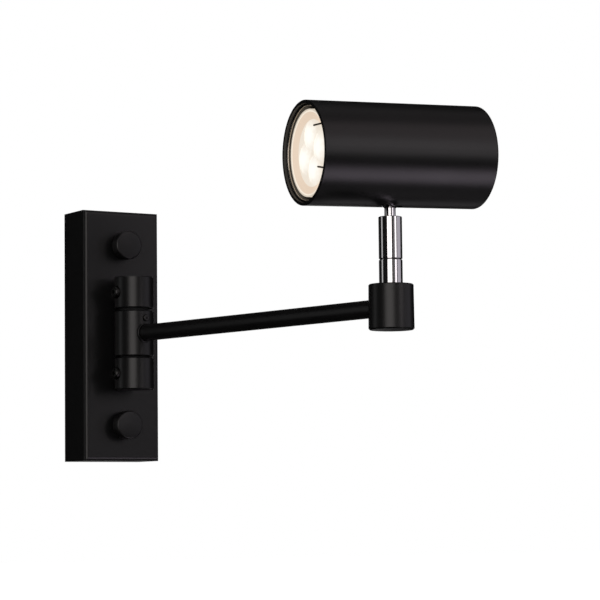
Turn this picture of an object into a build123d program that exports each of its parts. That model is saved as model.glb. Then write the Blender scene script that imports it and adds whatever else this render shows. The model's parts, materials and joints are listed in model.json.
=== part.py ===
from build123d import *
from math import asin, cos, radians, sin, sqrt, tan
import os

os.makedirs("parts", exist_ok=True)

# Pivoting spotlight wall light, in millimetres. X runs to the right along the wall, -Y out into the
# room and Z up. The origin is the centre of the back box on the wall's surface. The arm, the stem
# and the head are drawn at the angles of the reference picture.

# ---------------------------------------------------------------- angles at which the light hangs
arm_angle = 9.1        # arm, from straight out of the wall towards +X
aim_angle = 173.2      # heading of the lamp in plan, from +X
dip_angle = 1.3        # lamp end of the head, below level
tilt_limit = 32.0      # travel of the head each way from level

# ------------------------------------------------------------------------------------- back box
box_width = 54.0
box_height = 163.0
box_depth = 30.0
box_wall = 1.2
box_edge_radius = 2.5

# --------------------------------------------------------------------------------- wall bracket
bracket_width = 34.0
bracket_wall = 1.5
bracket_flange = 5.0
bracket_end = 8.0          # strip left beyond each stud
bracket_corner = 3.0
slot_spacing = 88.0        # the two wall screws
slot_length = 12.0
slot_width = 5.0
cable_hole_diameter = 18.0
cable_hole_rise = 12.0
grommet_lip = 1.5
grommet_wall = 1.4
earth_screw_diameter = 4.0
earth_head_diameter = 7.0
earth_head_height = 2.6
earth_washer_diameter = 9.0
earth_washer_thickness = 0.8
earth_across = 9.5
earth_rise = 27.0

# ---------------------------------------------------------------------------- studs and cap nuts
stud_spacing = 117.0
stud_diameter = 4.0
stud_collar_diameter = 8.0
stud_collar_height = 1.0
cap_diameter = 18.5
cap_thickness = 6.5
cap_neck_diameter = 8.0
cap_standoff = 4.5
cap_chamfer = 0.6
cap_floor = 3.0            # metal left in front of the stud

# -------------------------------------------------------------------------------- terminal block
terminal_poles = 3
terminal_pitch = 7.0
terminal_length = 18.0
terminal_base = 7.0
terminal_drop = 24.0       # its centre, below the centre of the box
turret_diameter = 5.6
turret_height = 5.0
turret_spacing = 9.0
terminal_screw_diameter = 3.0
terminal_entry_diameter = 3.4

# ----------------------------------------------------------------------------------------- hinge
hinge_reach = 47.0         # hinge axis, from the wall
knuckle_diameter = 25.4
fixed_knuckle_height = 20.4
middle_knuckle_height = 29.2
knuckle_chamfer = 0.6
lower_washer_thickness = 1.0
upper_washer_thickness = 1.75
hinge_washer_diameter = 19.0
neck_diameter = 14.0
spigot_diameter = 10.0
neck_washer_diameter = 15.0
neck_washer_thickness = 1.0
neck_nut_flats = 14.0
neck_nut_height = 4.0
spigot_tail = 1.0          # thread left beyond the nut
pin_diameter = 9.0
pin_bore = 6.0
pin_window = 6.0
pin_plug_length = 2.4
bush_diameter = 11.0
bush_length = 8.0
pin_screw_diameter = 4.0
pin_screw_head_diameter = 7.4
pin_screw_head_height = 3.2
pin_screw_socket = 2.5
spot_face_depth = 0.8
spot_face_clearance = 0.5
friction_screw_diameter = 2.5
friction_screw_head_diameter = 4.4
friction_screw_head_height = 1.4
friction_screw_socket = 1.5
friction_screw_rise = 9.6
friction_spot_depth = 0.3

# ------------------------------------------------------------------------------------------- arm
arm_reach = 247.5          # hinge axis to stem axis
arm_diameter = 10.6
arm_wall = 1.5
arm_root = 8.0             # end of the tube, from the hinge axis
barrel_height = 26.2
barrel_diameter = 26.4     # at its foot
barrel_top_diameter = 25.9
barrel_chamfer = 0.8
barrel_top_chamfer = 0.5
barrel_roof = 4.5
chamber_diameter = 15.0
barrel_cap_diameter = 23.4
barrel_cap_thickness = 2.0
arm_end_screw_diameter = 2.5
arm_end_shelf = 0.5        # rim of the socket that stops the tube

# ---------------------------------------------------------------------------------- stem, swivel
stem_diameter = 13.6
lower_stem_length = 14.0
upper_stem_length = 24.3
stem_chamfer = 0.3
swivel_washer_diameter = 11.6
swivel_washer_thickness = 0.45
nipple_diameter = 8.0
nipple_head_diameter = 10.4
nipple_head_height = 2.4
nipple_nut_flats = 12.4
nipple_nut_height = 3.5
nipple_tail = 0.5
stem_bore = 11.0
stem_floor = 8.0           # length of the running bore
spring_height = 1.8
spring_thickness = 0.7
plug_length = 5.5
ball_diameter = 12.0
ball_flats = 9.2
ball_neck_diameter = 6.5

# ------------------------------------------------------------------------------------------ head
head_diameter = 60.0
head_wall = 2.0
head_length = 109.3
head_front = 53.4          # front rim, ahead of the ball
ball_inset = 2.4           # centre of the ball, inside the tube's inner wall
head_clearance = 5.6       # between the stem and the level head
head_rim_chamfer = 0.25
head_rear_radius = 0.8
rear_inset = 1.0
rear_disc_thickness = 2.0
rear_skirt_length = 8.0
rear_skirt_wall = 1.5
tilt_block_length = 28.0
tilt_block_width = 20.0
tilt_block_top = 2.0
tilt_clamp_width = 16.0
tilt_clamp_corner = 2.0
tilt_clamp_top = 8.0
clamp_gap = 0.3
clamp_screw_spacing = 21.6
clamp_screw_pitch = 9.6    # across the head
clamp_screw_diameter = 3.0
clamp_screw_head_diameter = 5.5
clamp_screw_head_height = 2.4
clamp_sink_angle = 45.0    # side of the front screws' sunk heads
neck_slot_radius = 3.0
strip_width = 16.0
strip_thickness = 1.2
strip_foot_gap = 0.6       # foot, from the window of the clamp
strip_top_margin = 4.0     # upright, above its upper screw
holder_length = 26.0
holder_chamfer = 1.0
holder_screw_spacing = 13.0
holder_screw_diameter = 3.0
holder_screw_head_diameter = 5.6
holder_screw_head_height = 2.0
holder_screw_bite = 6.0
holder_pin_hole_diameter = 5.4
holder_pin_hole_depth = 8.0
holder_entry_depth = 5.0

# ------------------------------------------------------------------------------------------ lamp
lamp_diameter = 50.0
lamp_length = 48.0
lamp_recess = 3.2
lamp_base_diameter = 28.0
lamp_base_length = 12.0
lamp_base_chamfer = 2.0
lamp_rim_length = 7.0
lamp_rim_wall = 0.9
lens_thickness = 2.6
lens_margin = 0.2          # lens, behind the rim
lens_seat = 2.6
lens_zone_diameter = 37.4
lens_zone_depth = 0.9
lobe_count = 4
lobe_circle_diameter = 20.4
lobe_diameter = 16.6
lobe_height = 1.5
lobe_turn = 12.0
cavity_depth = 9.0
board_thickness = 1.6
chip_size = 3.4
chip_height = 0.8
lamp_pin_spacing = 10.0
lamp_pin_diameter = 3.0
lamp_pin_foot_diameter = 5.0
lamp_pin_length = 7.0
lamp_pin_foot_length = 1.8

# ------------------------------------------------------------------------------- wire lamp clip
clip_wire = 1.2
clip_upper_ear_angle = 30.2
clip_lower_ear_angle = -25.6
clip_upper_ear_length = 14.0
clip_lower_ear_length = 11.6
clip_upper_ear_slope = 2.4  # rise of the ear towards the lamp's axis
clip_lower_ear_slope = 11.0
clip_bend_radius = 1.6

# ----------------------------------------------------------------------------- leads, clearances
lead_diameter = 3.2
lead_clearance = 0.3
box_lead_bend = 8.0
arm_lead_bend = 4.0
head_lead_bend = 3.2
head_lead_tail = 5.0       # bend behind the holder, from its bracket
running_gap = 0.05         # between faces that slide on each other
fit_gap = 0.02             # between a pressed or screwed piece and its seat
hole_clearance = 0.2       # radial, where a stud or spigot passes a sheet

# --------------------------------------------------------------------------- directions and axes
up = Vector(0, 0, 1)
arm_turn = radians(arm_angle)
arm_dir = Vector(sin(arm_turn), -cos(arm_turn), 0)
arm_side = Vector(cos(arm_turn), sin(arm_turn), 0)
hinge_point = Vector(0, -hinge_reach, 0)
stem_point = hinge_point + arm_dir * arm_reach
hinge_plane = Plane(origin=hinge_point, x_dir=(1, 0, 0), z_dir=up)
arm_plane = Plane(origin=hinge_point, x_dir=arm_dir, z_dir=up)
stem_plane = Plane(origin=stem_point, x_dir=arm_dir, z_dir=up)
stem_section = Plane(origin=stem_point, x_dir=arm_dir, z_dir=-arm_side)
stem_axis = Axis(stem_point, up)


def along_arm(distance):
    """A plane across the arm, at a distance from the hinge axis; its Y is up."""
    return Plane(origin=hinge_point + arm_dir * distance, x_dir=arm_side, z_dir=arm_dir)


# ------------------------------------------------------------------------------- levels in the hinge
middle_top = middle_knuckle_height / 2
upper_knuckle_foot = middle_top + upper_washer_thickness + running_gap
lower_knuckle_head = -(middle_top + lower_washer_thickness + running_gap)
upper_level = upper_knuckle_foot + fixed_knuckle_height / 2
lower_level = lower_knuckle_head - fixed_knuckle_height / 2
hinge_top = upper_level + fixed_knuckle_height / 2
hinge_bottom = lower_level - fixed_knuckle_height / 2
knuckle_levels = (lower_level, upper_level)
lead_bore = lead_diameter + 2 * lead_clearance
spigot_length = box_wall + neck_washer_thickness + neck_nut_height + spigot_tail

# ------------------------------------------------------------------------------ levels in the stem
barrel_top = barrel_height / 2
lower_stem_top = barrel_top + lower_stem_length
upper_stem_foot = lower_stem_top + swivel_washer_thickness + running_gap
stem_top = upper_stem_foot + upper_stem_length
spring_foot = upper_stem_foot + stem_floor
nipple_head_foot = spring_foot + spring_height + running_gap
nipple_top = nipple_head_foot + nipple_head_height
chamber_roof = barrel_top - barrel_roof
nipple_foot = chamber_roof - nipple_nut_height - nipple_tail
ball_rise = head_clearance + head_wall + ball_inset
ball_level = stem_top + ball_rise
ball_radius = ball_diameter / 2
pocket_radius = ball_radius + running_gap

# -------------------------------------------------------------------------------- axes of the head
head_radius = head_diameter / 2
head_bore_radius = head_radius - head_wall
head_rise = head_bore_radius - ball_inset
aim = radians(aim_angle)
dip = radians(dip_angle)
lamp_dir = Vector(cos(aim) * cos(dip), sin(aim) * cos(dip), -sin(dip))
across_dir = Vector(-sin(aim), cos(aim), 0)
ball_point = stem_point + up * ball_level
ball_plane = Plane(origin=ball_point, x_dir=(cos(aim), sin(aim), 0), z_dir=up)
head_plane = Plane(origin=ball_point, x_dir=lamp_dir, z_dir=lamp_dir.cross(across_dir))
head_side = Plane(origin=ball_point, x_dir=lamp_dir, z_dir=-across_dir)
tube_centre = head_plane.from_local_coords(Vector(0, 0, head_rise))
tube_section = Plane(origin=tube_centre, x_dir=lamp_dir, z_dir=-across_dir)
tube_axis = Axis(tube_centre, lamp_dir)


def along_head(distance):
    """A plane across the head, ahead of the ball; its X points sideways and its Y up."""
    return Plane(origin=tube_centre + lamp_dir * distance, x_dir=across_dir, z_dir=lamp_dir)


head_back = head_front - head_length
lamp_face = head_front - lamp_recess
lamp_back = lamp_face - lamp_length
holder_back = lamp_back - holder_length
strip_back = holder_back - strip_thickness


def lay_lead(name, points, bend):
    """A round two-core lead along straight runs that are joined by arcs."""
    with BuildPart() as lead:
        with BuildLine() as route:
            FilletPolyline(*points, radius=bend)
        with BuildSketch(Plane(origin=route.line @ 0, z_dir=route.line % 0)):
            Circle(lead_diameter / 2)
        sweep()
    lead.part.label = name
    export_step(lead.part, f"parts/{name}.step")


# =================================================================================== wall bracket
# A folded steel channel that two wall screws hold; it carries the studs, the earth screw and the
# terminal block, and the supply cable comes through its round hole.
with BuildPart() as wall_bracket:
    with BuildSketch(Plane.XZ):
        RectangleRounded(bracket_width, stud_spacing + 2 * bracket_end, bracket_corner)
        with GridLocations(0, slot_spacing, 1, 2):
            SlotOverall(slot_length, slot_width, rotation=90, mode=Mode.SUBTRACT)
        with GridLocations(0, stud_spacing, 1, 2):
            Circle(stud_diameter / 2 + fit_gap, mode=Mode.SUBTRACT)
        with Locations((0, cable_hole_rise)):
            Circle(cable_hole_diameter / 2, mode=Mode.SUBTRACT)
        with Locations((earth_across, earth_rise)):
            Circle(earth_screw_diameter / 2 + fit_gap, mode=Mode.SUBTRACT)
    extrude(amount=bracket_wall)
    with BuildSketch(Plane.XZ.offset(bracket_wall)):
        with GridLocations(bracket_width - bracket_wall, 0, 2, 1):
            Rectangle(bracket_wall, stud_spacing + 2 * (bracket_end - bracket_corner))
    extrude(amount=bracket_flange)
wall_bracket.part.label = "wall_bracket"
export_step(wall_bracket.part, "parts/wall_bracket.step")

# Two long studs, pressed into the bracket and collared, that carry the box between them.
stud_end = box_depth + cap_standoff + cap_thickness - cap_floor - running_gap
with BuildPart() as bracket_studs:
    with BuildSketch(Plane.XZ):
        with GridLocations(0, stud_spacing, 1, 2):
            Circle(stud_diameter / 2)
    extrude(amount=stud_end)
    chamfer(bracket_studs.faces().group_by(Axis.Y)[0].edges(), stud_diameter / 10)
    with BuildSketch(Plane.XZ.offset(bracket_wall)):
        with GridLocations(0, stud_spacing, 1, 2):
            Circle(stud_collar_diameter / 2)
    extrude(amount=stud_collar_height)
bracket_studs.part.label = "bracket_studs"
export_step(bracket_studs.part, "parts/bracket_studs.step")

# A rubber grommet that snaps into the cable hole.
grommet_radius = cable_hole_diameter / 2 - fit_gap
with BuildPart() as cable_grommet:
    with BuildSketch(Plane.XZ):
        with Locations((0, cable_hole_rise)):
            Circle(grommet_radius)
    extrude(amount=bracket_wall + grommet_lip)
    with BuildSketch(Plane.XZ.offset(bracket_wall)):
        with Locations((0, cable_hole_rise)):
            Circle(grommet_radius + grommet_lip)
    extrude(amount=grommet_lip)
    fillet(cable_grommet.edges().group_by(Axis.Y)[0], grommet_lip / 3)
    with BuildSketch(Plane.XZ):
        with Locations((0, cable_hole_rise)):
            Circle(grommet_radius - grommet_wall)
    extrude(amount=bracket_wall + grommet_lip, mode=Mode.SUBTRACT)
cable_grommet.part.label = "cable_grommet"
export_step(cable_grommet.part, "parts/cable_grommet.step")

# The earth screw, with its cupped washer, in the bracket.
with BuildPart() as earth_screw:
    with BuildSketch(Plane.XZ):
        with Locations((earth_across, earth_rise)):
            Circle(earth_screw_diameter / 2)
    extrude(amount=bracket_wall)
    with BuildSketch(Plane.XZ.offset(bracket_wall)):
        with Locations((earth_across, earth_rise)):
            Circle(earth_washer_diameter / 2)
    extrude(amount=earth_washer_thickness)
    with BuildSketch(Plane.XZ.offset(bracket_wall + earth_washer_thickness)):
        with Locations((earth_across, earth_rise)):
            Circle(earth_head_diameter / 2)
    extrude(amount=earth_head_height)
    fillet(earth_screw.edges().group_by(Axis.Y)[0], earth_head_height / 4)
    with BuildSketch(Plane.XZ.offset(bracket_wall + earth_washer_thickness + earth_head_height / 2)):
        with Locations((earth_across, earth_rise)):
            Rectangle(earth_head_diameter, earth_head_diameter / 6)
    extrude(amount=earth_head_height, mode=Mode.SUBTRACT)
earth_screw.part.label = "earth_screw"
export_step(earth_screw.part, "parts/earth_screw.step")

# ================================================================================= terminal block
# A three-pole screw block on the bracket: a base with two rows of turrets, entered from both ends.
terminal_front = bracket_wall + terminal_base + turret_height
terminal_entry_depth = bracket_wall + terminal_base / 2
with BuildPart() as terminal_block:
    with BuildSketch(Plane.XZ.offset(bracket_wall)):
        with Locations((0, -terminal_drop)):
            Rectangle(terminal_poles * terminal_pitch, terminal_length)
    extrude(amount=terminal_base)
    fillet(terminal_block.edges().filter_by(Axis.Y), 1)
    with BuildSketch(Plane.XZ.offset(bracket_wall + terminal_base)):
        with Locations((0, -terminal_drop)):
            with GridLocations(terminal_pitch, turret_spacing, terminal_poles, 2):
                Circle(turret_diameter / 2)
    extrude(amount=turret_height)
    with BuildSketch(Plane.XZ.offset(terminal_entry_depth)):
        with Locations((0, -terminal_drop)):
            with GridLocations(terminal_pitch, turret_spacing, terminal_poles, 2):
                Circle(terminal_screw_diameter / 2 + fit_gap)
    extrude(amount=terminal_front - terminal_entry_depth, mode=Mode.SUBTRACT)
    with BuildSketch(Plane.XY.offset(-terminal_drop - terminal_length / 2)):
        with Locations((0, -terminal_entry_depth)):
            with GridLocations(terminal_pitch, 0, terminal_poles, 1):
                Circle(terminal_entry_diameter / 2)
    extrude(amount=terminal_length, mode=Mode.SUBTRACT)
terminal_block.part.label = "terminal_block"
export_step(terminal_block.part, "parts/terminal_block.step")

# Its six slotted clamping screws, one in each turret.
with BuildPart() as terminal_screws:
    with BuildSketch(Plane.XZ.offset(terminal_entry_depth + terminal_entry_diameter / 2)):
        with Locations((0, -terminal_drop)):
            with GridLocations(terminal_pitch, turret_spacing, terminal_poles, 2):
                Circle(terminal_screw_diameter / 2)
    extrude(amount=terminal_base / 2 - terminal_entry_diameter / 2 + turret_height / 2)
    with BuildSketch(Plane.XZ.offset(terminal_front - turret_height / 2 - terminal_screw_diameter / 4)):
        with Locations((0, -terminal_drop)):
            with GridLocations(terminal_pitch, turret_spacing, terminal_poles, 2):
                Rectangle(terminal_screw_diameter, terminal_screw_diameter / 5)
    extrude(amount=terminal_screw_diameter, mode=Mode.SUBTRACT)
terminal_screws.part.label = "terminal_screws"
export_step(terminal_screws.part, "parts/terminal_screws.step")

# ======================================================================================= back box
# A sheet-steel pan, open to the wall, with rolled front edges.
with BuildPart() as back_box:
    with BuildSketch(Plane.XZ):
        Rectangle(box_width, box_height)
    extrude(amount=box_depth)
    fillet(back_box.faces().sort_by(Axis.Y)[0].edges(), box_edge_radius)
    offset(amount=-box_wall, openings=back_box.faces().sort_by(Axis.Y)[-1])
    with BuildSketch(Plane.XZ.offset(box_depth)):
        with GridLocations(0, stud_spacing, 1, 2):
            Circle(stud_diameter / 2 + hole_clearance)
        with Locations(*[(0, level) for level in knuckle_levels]):
            Circle(spigot_diameter / 2 + hole_clearance)
    extrude(amount=-box_wall, mode=Mode.SUBTRACT)
back_box.part.label = "back_box"
export_step(back_box.part, "parts/back_box.step")

# Two round cap nuts on the studs, standing off the box on narrow necks.
cap_front = box_depth + cap_standoff + cap_thickness
with BuildPart() as cap_nuts:
    with BuildSketch(Plane.XZ.offset(box_depth)):
        with GridLocations(0, stud_spacing, 1, 2):
            Circle(cap_neck_diameter / 2)
    extrude(amount=cap_standoff)
    with BuildSketch(Plane.XZ.offset(box_depth + cap_standoff)):
        with GridLocations(0, stud_spacing, 1, 2):
            Circle(cap_diameter / 2)
    extrude(amount=cap_thickness)
    chamfer(cap_nuts.edges().group_by(Axis.Y)[0], cap_chamfer)
    with BuildSketch(Plane.XZ.offset(box_depth)):
        with GridLocations(0, stud_spacing, 1, 2):
            Circle(stud_diameter / 2 + fit_gap)
    extrude(amount=cap_front - cap_floor - box_depth, mode=Mode.SUBTRACT)
cap_nuts.part.label = "cap_nuts"
export_step(cap_nuts.part, "parts/cap_nuts.step")

# ================================================================================ fixed knuckles
# Turned knuckles on short necks. Each neck ends in a hollow threaded spigot that goes through the
# box; the lead runs through the upper one. A spot face in the side seats the pin screw.
pin_screw_seat = knuckle_diameter / 2 - spot_face_depth


def left_of_hinge(distance):
    """A plane across the pin screws, on the left of the hinge axis; its Y is up."""
    return Plane(origin=(-distance, -hinge_reach, 0), x_dir=(0, -1, 0), z_dir=(-1, 0, 0))


for name, level in (("lower_knuckle", lower_level), ("upper_knuckle", upper_level)):
    with BuildPart() as knuckle:
        with BuildSketch(hinge_plane.offset(level - fixed_knuckle_height / 2)):
            Circle(knuckle_diameter / 2)
        extrude(amount=fixed_knuckle_height)
        chamfer(knuckle.edges().filter_by(GeomType.CIRCLE), knuckle_chamfer)
        with BuildSketch(Plane.XZ.offset(box_depth)):
            with Locations((0, level)):
                Circle(neck_diameter / 2)
        extrude(amount=hinge_reach - box_depth)
        with BuildSketch(Plane.XZ.offset(box_depth)):
            with Locations((0, level)):
                Circle(spigot_diameter / 2)
        extrude(amount=-spigot_length)
        with BuildSketch(hinge_plane.offset(level - fixed_knuckle_height / 2)):
            Circle(pin_diameter / 2 + fit_gap)
        extrude(amount=fixed_knuckle_height, mode=Mode.SUBTRACT)
        with BuildSketch(Plane.XZ.offset(box_depth - spigot_length)):
            with Locations((0, level)):
                Circle(lead_bore / 2)
        extrude(amount=hinge_reach - box_depth + spigot_length, mode=Mode.SUBTRACT)
        with BuildSketch(left_of_hinge(pin_screw_seat)):
            with Locations((0, level)):
                Circle(pin_screw_head_diameter / 2 + spot_face_clearance)
        extrude(amount=spot_face_depth + pin_screw_head_height, mode=Mode.SUBTRACT)
        with BuildSketch(left_of_hinge(0)):
            with Locations((0, level)):
                Circle(pin_screw_diameter / 2 + fit_gap)
        extrude(amount=knuckle_diameter / 2, mode=Mode.SUBTRACT)
    knuckle.part.label = name
    export_step(knuckle.part, f"parts/{name}.step")

# Round-headed screws that lock the hinge pin, one in the side of each fixed knuckle.
with BuildPart() as pin_screws:
    with BuildSketch(left_of_hinge(pin_screw_seat)):
        with Locations(*[(0, level) for level in knuckle_levels]):
            Circle(pin_screw_head_diameter / 2)
    extrude(amount=pin_screw_head_height)
    fillet(pin_screws.edges().group_by(Axis.X)[0], pin_screw_head_height / 2)
    with BuildSketch(left_of_hinge(pin_screw_seat + pin_screw_head_height / 2)):
        with Locations(*[(0, level) for level in knuckle_levels]):
            RegularPolygon(pin_screw_socket / 2, 6, major_radius=False)
    extrude(amount=pin_screw_head_height, mode=Mode.SUBTRACT)
    with BuildSketch(left_of_hinge(pin_diameter / 2 + fit_gap)):
        with Locations(*[(0, level) for level in knuckle_levels]):
            Circle(pin_screw_diameter / 2)
    extrude(amount=pin_screw_seat - pin_diameter / 2 - fit_gap)
pin_screws.part.label = "pin_screws"
export_step(pin_screws.part, "parts/pin_screws.step")

# Washers and thin hexagon nuts that clamp the two spigots inside the box.
box_inside = box_depth - box_wall
with BuildPart() as neck_washers:
    with BuildSketch(Plane.XZ.offset(box_inside)):
        with Locations(*[(0, level) for level in knuckle_levels]):
            Circle(neck_washer_diameter / 2)
            Circle(spigot_diameter / 2 + hole_clearance, mode=Mode.SUBTRACT)
    extrude(amount=-neck_washer_thickness)
neck_washers.part.label = "neck_washers"
export_step(neck_washers.part, "parts/neck_washers.step")

with BuildPart() as neck_nuts:
    with BuildSketch(Plane.XZ.offset(box_inside - neck_washer_thickness)):
        with Locations(*[(0, level) for level in knuckle_levels]):
            RegularPolygon(neck_nut_flats / 2, 6, major_radius=False)
            Circle(spigot_diameter / 2 + fit_gap, mode=Mode.SUBTRACT)
    extrude(amount=-neck_nut_height)
neck_nuts.part.label = "neck_nuts"
export_step(neck_nuts.part, "parts/neck_nuts.step")

# ====================================================================================== hinge pin
# A hollow pin through all three knuckles. Its window lets the lead out to the arm over the whole
# swing, and the round hole at the back lets it in from the upper neck.
pin_foot = hinge_bottom + pin_plug_length
with BuildPart() as hinge_pin:
    with BuildSketch(hinge_plane.offset(pin_foot)):
        Circle(pin_diameter / 2)
        Circle(pin_bore / 2, mode=Mode.SUBTRACT)
    extrude(amount=hinge_top - hinge_bottom - 2 * pin_plug_length)
    with BuildSketch(hinge_plane.offset(-pin_window / 2)):
        with Locations((0, -pin_diameter / 2)):
            Rectangle(2 * pin_diameter, pin_diameter + lead_bore)
    extrude(amount=pin_window, mode=Mode.SUBTRACT)
    with BuildSketch(Plane.XZ.offset(hinge_reach - pin_diameter)):
        with Locations((0, upper_level)):
            Circle(lead_bore / 2)
    extrude(amount=pin_diameter, mode=Mode.SUBTRACT)
hinge_pin.part.label = "hinge_pin"
export_step(hinge_pin.part, "parts/hinge_pin.step")

# Flush plugs over both ends of the pin.
with BuildPart() as pin_plugs:
    for level in (hinge_bottom, hinge_top - pin_plug_length):
        with BuildSketch(hinge_plane.offset(level)):
            Circle(pin_diameter / 2)
        extrude(amount=pin_plug_length)
pin_plugs.part.label = "pin_plugs"
export_step(pin_plugs.part, "parts/pin_plugs.step")

# Dark washers between the knuckles, the upper one thicker.
for name, foot, thickness in (
    ("lower_hinge_washer", lower_knuckle_head, lower_washer_thickness),
    ("upper_hinge_washer", upper_knuckle_foot - upper_washer_thickness, upper_washer_thickness),
):
    with BuildPart() as hinge_washer:
        with BuildSketch(hinge_plane.offset(foot)):
            Circle(hinge_washer_diameter / 2)
            Circle(pin_diameter / 2 + fit_gap, mode=Mode.SUBTRACT)
        extrude(amount=thickness)
    hinge_washer.part.label = name
    export_step(hinge_washer.part, f"parts/{name}.step")

# The lead from the terminal block through the upper neck into the pin.
lay_lead(
    "box_lead",
    (
        (0, -terminal_entry_depth, terminal_length / 4 - terminal_drop),
        (0, -terminal_entry_depth, upper_level),
        (0, -hinge_reach + pin_bore / 4, upper_level),
    ),
    box_lead_bend,
)

# ================================================================================= middle knuckle
# The turning knuckle: bored for its bushes, with a socket for the arm and a spot-faced side hole.
friction_seat = knuckle_diameter / 2 - friction_spot_depth
with BuildPart() as middle_knuckle:
    with BuildSketch(arm_plane.offset(-middle_top)):
        Circle(knuckle_diameter / 2)
    extrude(amount=middle_knuckle_height)
    chamfer(middle_knuckle.edges().filter_by(GeomType.CIRCLE), knuckle_chamfer)
    with BuildSketch(arm_plane.offset(-middle_top)):
        Circle(bush_diameter / 2 + fit_gap)
    extrude(amount=middle_knuckle_height, mode=Mode.SUBTRACT)
    with BuildSketch(along_arm(arm_root)):
        Circle(arm_diameter / 2 + fit_gap)
    extrude(amount=knuckle_diameter / 2, mode=Mode.SUBTRACT)
    with BuildSketch(along_arm(0)):
        Circle(arm_diameter / 2 - arm_wall)
    extrude(amount=arm_root, mode=Mode.SUBTRACT)
    with BuildSketch(along_arm(0)):
        with Locations((0, friction_screw_rise)):
            Circle(friction_screw_diameter / 2 + fit_gap)
    extrude(amount=knuckle_diameter / 2, mode=Mode.SUBTRACT)
    with BuildSketch(along_arm(friction_seat)):
        with Locations((0, friction_screw_rise)):
            Circle(friction_screw_head_diameter / 2 + hole_clearance)
    extrude(amount=knuckle_diameter, mode=Mode.SUBTRACT)
middle_knuckle.part.label = "middle_knuckle"
export_step(middle_knuckle.part, "parts/middle_knuckle.step")

# Two plain bushes, pressed into the middle knuckle, that run on the pin.
with BuildPart() as hinge_bushes:
    for level in (-middle_top, middle_top - bush_length):
        with BuildSketch(arm_plane.offset(level)):
            Circle(bush_diameter / 2)
            Circle(pin_diameter / 2 + running_gap, mode=Mode.SUBTRACT)
        extrude(amount=bush_length)
hinge_bushes.part.label = "hinge_bushes"
export_step(hinge_bushes.part, "parts/hinge_bushes.step")

# The small screw above the arm that nips the upper bush on the pin and sets the hinge's drag.
with BuildPart() as friction_screw:
    with BuildSketch(along_arm(bush_diameter / 2 + running_gap)):
        with Locations((0, friction_screw_rise)):
            Circle(friction_screw_diameter / 2)
    extrude(amount=friction_seat - bush_diameter / 2 - running_gap)
    with BuildSketch(along_arm(friction_seat)):
        with Locations((0, friction_screw_rise)):
            Circle(friction_screw_head_diameter / 2)
    extrude(amount=friction_screw_head_height)
    fillet(friction_screw.edges().sort_by(Axis(hinge_point, arm_dir))[-1], friction_screw_head_height / 2)
    with BuildSketch(along_arm(friction_seat + friction_screw_head_height / 2)):
        with Locations((0, friction_screw_rise)):
            RegularPolygon(friction_screw_socket / 2, 6, major_radius=False)
    extrude(amount=friction_screw_head_height, mode=Mode.SUBTRACT)
friction_screw.part.label = "friction_screw"
export_step(friction_screw.part, "parts/friction_screw.step")

# ============================================================================================ arm
# A straight drawn tube, socketed in the knuckle and in the barrel.
arm_end = arm_reach - chamber_diameter / 2 - arm_end_shelf
with BuildPart() as arm_tube:
    with BuildSketch(along_arm(arm_root)):
        Circle(arm_diameter / 2)
        Circle(arm_diameter / 2 - arm_wall, mode=Mode.SUBTRACT)
    extrude(amount=arm_end - arm_root)
arm_tube.part.label = "arm_tube"
export_step(arm_tube.part, "parts/arm_tube.step")

# The lead along the arm, then up through the swivel nipple.
lay_lead(
    "arm_lead",
    (
        hinge_point + arm_dir * (pin_diameter / 2 + running_gap),
        stem_point,
        stem_point + up * nipple_top,
    ),
    arm_lead_bend,
)

# ========================================================================================= barrel
# The barrel at the arm's end, cast with a little draft: its chamber takes the nipple's nut from
# below, the tube stops on a small shelf, and an end screw beside the chamber holds the tube.
barrel_foot = -barrel_height / 2
end_screw_radius = (chamber_diameter + barrel_cap_diameter) / 4
with BuildPart() as arm_barrel:
    with BuildSketch(stem_section):
        with BuildLine():
            Polyline(
                (0, barrel_foot),
                (barrel_diameter / 2, barrel_foot),
                (barrel_top_diameter / 2, barrel_top),
                (0, barrel_top),
                close=True,
            )
        make_face()
    revolve(axis=stem_axis)
    chamfer(arm_barrel.edges().group_by(Axis.Z)[0], barrel_chamfer)
    chamfer(arm_barrel.edges().group_by(Axis.Z)[-1], barrel_top_chamfer)
    with BuildSketch(stem_plane.offset(barrel_foot)):
        Circle(barrel_cap_diameter / 2 + fit_gap)
    extrude(amount=barrel_cap_thickness, mode=Mode.SUBTRACT)
    with BuildSketch(stem_plane.offset(barrel_foot)):
        Circle(chamber_diameter / 2)
    extrude(amount=chamber_roof - barrel_foot, mode=Mode.SUBTRACT)
    with BuildSketch(stem_plane.offset(barrel_foot)):
        Circle(nipple_diameter / 2 + fit_gap)
    extrude(amount=barrel_height, mode=Mode.SUBTRACT)
    with BuildSketch(along_arm(arm_end)):
        Circle(arm_diameter / 2 + fit_gap)
    extrude(amount=-barrel_diameter / 2, mode=Mode.SUBTRACT)
    with BuildSketch(along_arm(arm_end)):
        Circle(arm_diameter / 2 - arm_wall)
    extrude(amount=chamber_diameter / 2, mode=Mode.SUBTRACT)
    with BuildSketch(stem_plane.offset(barrel_foot)):
        with Locations((-end_screw_radius, 0)):
            Circle(arm_end_screw_diameter / 2 + fit_gap)
    extrude(amount=-barrel_foot, mode=Mode.SUBTRACT)
arm_barrel.part.label = "arm_barrel"
export_step(arm_barrel.part, "parts/arm_barrel.step")

# The flush disc that closes the barrel from below.
with BuildPart() as barrel_cap:
    with BuildSketch(stem_plane.offset(barrel_foot)):
        Circle(barrel_cap_diameter / 2)
    extrude(amount=barrel_cap_thickness)
    with BuildSketch(stem_plane.offset(barrel_foot + barrel_cap_thickness)):
        Circle(chamber_diameter / 2 - fit_gap)
        Circle(chamber_diameter / 2 - barrel_cap_thickness, mode=Mode.SUBTRACT)
    extrude(amount=barrel_cap_thickness)
barrel_cap.part.label = "barrel_cap"
export_step(barrel_cap.part, "parts/barrel_cap.step")

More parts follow.
